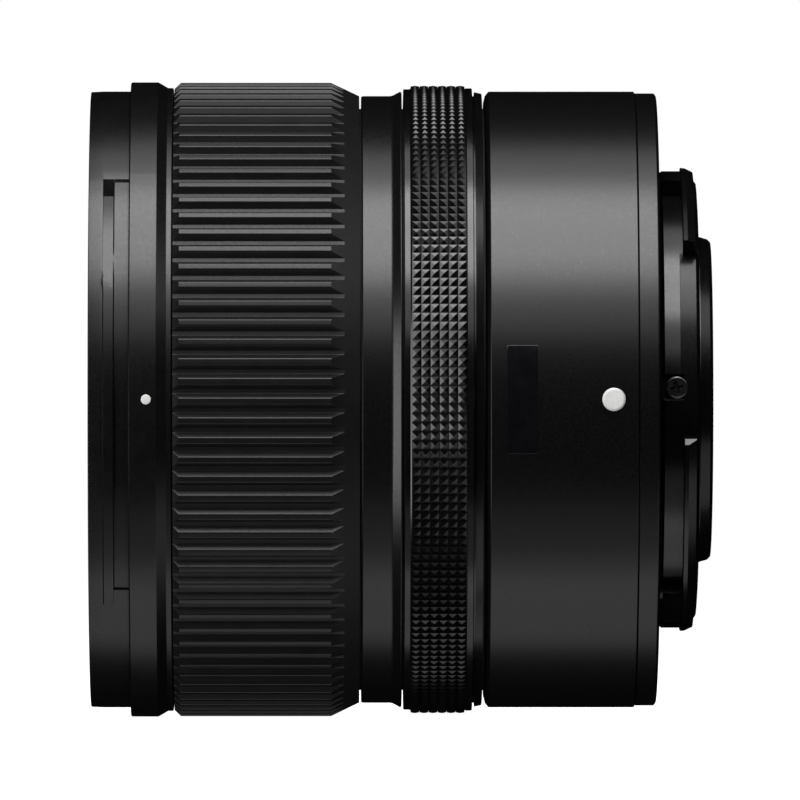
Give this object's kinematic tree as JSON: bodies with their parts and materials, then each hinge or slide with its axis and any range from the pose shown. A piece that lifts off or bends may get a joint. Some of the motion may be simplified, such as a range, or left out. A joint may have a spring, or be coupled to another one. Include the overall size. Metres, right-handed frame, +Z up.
{
  "type": "camera zoom lens",
  "caption": "Compact internal-zoom camera lens with ribbed zoom ring, knurled control ring, bayonet mount with contacts, filter thread, cam-driven lens groups and iris.",
  "frame": {"origin": "centre of the mount flange's rear face, on the optical axis", "axes": "+Y along the optical axis towards the camera, front faces -Y, the side with the index dots faces +X, +Z up"},
  "size_m": [0.072, 0.0703, 0.072],
  "materials": {
    "bayonet_plastic": "satin black moulded plastic",
    "steel_screw": "blackened steel",
    "contact_gold": "gold plated",
    "barrel_paint": "fine-grained black paint on plastic",
    "plate_gloss": "gloss black, bare",
    "mark_white": "white",
    "inner_plastic": "matt black moulding",
    "front_plastic": "satin black moulding",
    "ring_plastic": "satin black, ribbed or knurled",
    "scale_magnetic": "magnetic strip",
    "guide_metal": "dark anodised",
    "rod_steel": "ground steel",
    "motor_steel": "plain steel can",
    "gear_plastic": "ivory acetal",
    "board": "green solder mask",
    "sensor_black": "black moulding",
    "blade_black": "matt black film",
    "coated_glass": "coated optical glass"
  },
  "bodies": {
    "barrel": {"bayonet_mount": "bayonet_plastic", "mount_screws": "steel_screw", "stop_screw": "steel_screw", "contact_block": "bayonet_plastic", "contact_pins": "contact_gold", "rear_baffle": "bayonet_plastic", "small_screws": "steel_screw", "rear_ring": "barrel_paint", "rear_barrel": "barrel_paint", "name_plate": "plate_gloss", "mount_index": "mark_white", "fixed_barrel": "inner_plastic", "mid_ring": "barrel_paint", "front_ring": "front_plastic", "hood_index": "mark_white", "front_bezel": "front_plastic", "guide_barrel": "guide_metal", "cam_retainer": "inner_plastic", "rear_frame": "inner_plastic", "rear_cell": "inner_plastic", "rear_inner_element": "coated_glass", "rear_outer_element": "coated_glass", "main_board": "board", "zoom_motor": "motor_steel", "focus_motor": "motor_steel", "focus_rods": "rod_steel", "ring_sensors": "sensor_black"},
    "zoom_ring": {"zoom_ring": "ring_plastic", "zoom_scale": "scale_magnetic"},
    "control_ring": {"control_ring": "ring_plastic", "control_scale": "scale_magnetic"},
    "cam": {"cam_barrel": "guide_metal", "cam_gear": "guide_metal"},
    "zoom_pinion": {"zoom_pinion": "gear_plastic"},
    "front_group": {"front_cell": "inner_plastic", "front_element": "coated_glass", "second_element": "coated_glass", "third_element": "coated_glass", "front_retainer": "inner_plastic", "front_followers": "rod_steel"},
    "variator": {"variator_cell": "inner_plastic", "variator_front": "inner_plastic", "variator_element": "coated_glass", "variator_followers": "rod_steel", "iris_base": "inner_plastic", "iris_cover": "inner_plastic"},
    "iris_ring": {"iris_drive_ring": "guide_metal"},
    "iris_blade_1": {"iris_blade_1": "blade_black"},
    "iris_blade_2": {"iris_blade_2": "blade_black"},
    "iris_blade_3": {"iris_blade_3": "blade_black"},
    "iris_blade_4": {"iris_blade_4": "blade_black"},
    "iris_blade_5": {"iris_blade_5": "blade_black"},
    "iris_blade_6": {"iris_blade_6": "blade_black"},
    "iris_blade_7": {"iris_blade_7": "blade_black"},
    "vr_guide": {"vr_guide": "guide_metal"},
    "vr_cell": {"vr_cell": "inner_plastic", "vr_element": "coated_glass"},
    "focus_group": {"focus_cell": "inner_plastic", "focus_element": "coated_glass"},
    "focus_screw": {"focus_screw": "rod_steel"}
  },
  "joints": [
    {"name": "zoom_ring_turn", "type": "hinge", "parent": "barrel", "child": "zoom_ring", "pos_m": [0, -0.044, 0], "axis": [0, -1, 0], "continuous": true},
    {"name": "control_ring_turn", "type": "hinge", "parent": "barrel", "child": "control_ring", "pos_m": [0, -0.024, 0], "axis": [0, -1, 0], "continuous": true},
    {"name": "cam_turn", "type": "hinge", "parent": "barrel", "child": "cam", "pos_m": [0, -0.033, 0], "axis": [0, -1, 0], "range_deg": [0, 72]},
    {"name": "zoom_pinion_spin", "type": "hinge", "parent": "barrel", "child": "zoom_pinion", "pos_m": [-0.0189, -0.016, 0.02252], "axis": [0, -1, 0], "range_deg": [-812, 2]},
    {"name": "front_group_slide", "type": "slide", "parent": "barrel", "child": "front_group", "axis": [0, 1, 0], "range_m": [0, 0.0036]},
    {"name": "variator_slide", "type": "slide", "parent": "barrel", "child": "variator", "axis": [0, -1, 0], "range_m": [0, 0.009]},
    {"name": "iris_ring_turn", "type": "hinge", "parent": "variator", "child": "iris_ring", "pos_m": [0, -0.0217, 0], "axis": [0, -1, 0], "range_deg": [0, 24]},
    {"name": "iris_blade_1_swing", "type": "hinge", "parent": "variator", "child": "iris_blade_1", "pos_m": [0.016, -0.023, 0], "axis": [0, -1, 0], "range_deg": [0, 26]},
    {"name": "iris_blade_2_swing", "type": "hinge", "parent": "variator", "child": "iris_blade_2", "pos_m": [0.00998, -0.023, 0.01251], "axis": [0, -1, 0], "range_deg": [0, 26]},
    {"name": "iris_blade_3_swing", "type": "hinge", "parent": "variator", "child": "iris_blade_3", "pos_m": [-0.00356, -0.023, 0.0156], "axis": [0, -1, 0], "range_deg": [0, 26]},
    {"name": "iris_blade_4_swing", "type": "hinge", "parent": "variator", "child": "iris_blade_4", "pos_m": [-0.01442, -0.023, 0.00694], "axis": [0, -1, 0], "range_deg": [0, 26]},
    {"name": "iris_blade_5_swing", "type": "hinge", "parent": "variator", "child": "iris_blade_5", "pos_m": [-0.01442, -0.023, -0.00694], "axis": [0, -1, 0], "range_deg": [0, 26]},
    {"name": "iris_blade_6_swing", "type": "hinge", "parent": "variator", "child": "iris_blade_6", "pos_m": [-0.00356, -0.023, -0.0156], "axis": [0, -1, 0], "range_deg": [0, 26]},
    {"name": "iris_blade_7_swing", "type": "hinge", "parent": "variator", "child": "iris_blade_7", "pos_m": [0.00998, -0.023, -0.01251], "axis": [0, -1, 0], "range_deg": [0, 26]},
    {"name": "vr_guide_slide", "type": "slide", "parent": "variator", "child": "vr_guide", "axis": [1, 0, 0], "range_m": [-0.0006, 0.0006]},
    {"name": "vr_cell_slide", "type": "slide", "parent": "vr_guide", "child": "vr_cell", "axis": [0, 0, 1], "range_m": [-0.0006, 0.0006]},
    {"name": "focus_screw_spin", "type": "hinge", "parent": "barrel", "child": "focus_screw", "pos_m": [0.00889, -0.01, -0.02443], "axis": [0, -1, 0], "range_deg": [0, 1224]},
    {"name": "focus_slide", "type": "slide", "parent": "barrel", "child": "focus_group", "axis": [0, -1, 0], "range_m": [0, 0.0034]}
  ],
  "couplings": [
    {"joint": "zoom_pinion_spin", "follows": "cam_turn", "ratio": -11.25},
    {"joint": "front_group_slide", "follows": "cam_turn", "m_per_rad": 0.0028648},
    {"joint": "variator_slide", "follows": "cam_turn", "m_per_rad": 0.007162},
    {"joint": "iris_blade_1_swing", "follows": "iris_ring_turn", "ratio": 1.0833},
    {"joint": "iris_blade_2_swing", "follows": "iris_ring_turn", "ratio": 1.0833},
    {"joint": "iris_blade_3_swing", "follows": "iris_ring_turn", "ratio": 1.0833},
    {"joint": "iris_blade_4_swing", "follows": "iris_ring_turn", "ratio": 1.0833},
    {"joint": "iris_blade_5_swing", "follows": "iris_ring_turn", "ratio": 1.0833},
    {"joint": "iris_blade_6_swing", "follows": "iris_ring_turn", "ratio": 1.0833},
    {"joint": "iris_blade_7_swing", "follows": "iris_ring_turn", "ratio": 1.0833},
    {"joint": "focus_screw_spin", "follows": "focus_slide", "rad_per_m": 6283.2}
  ]
}
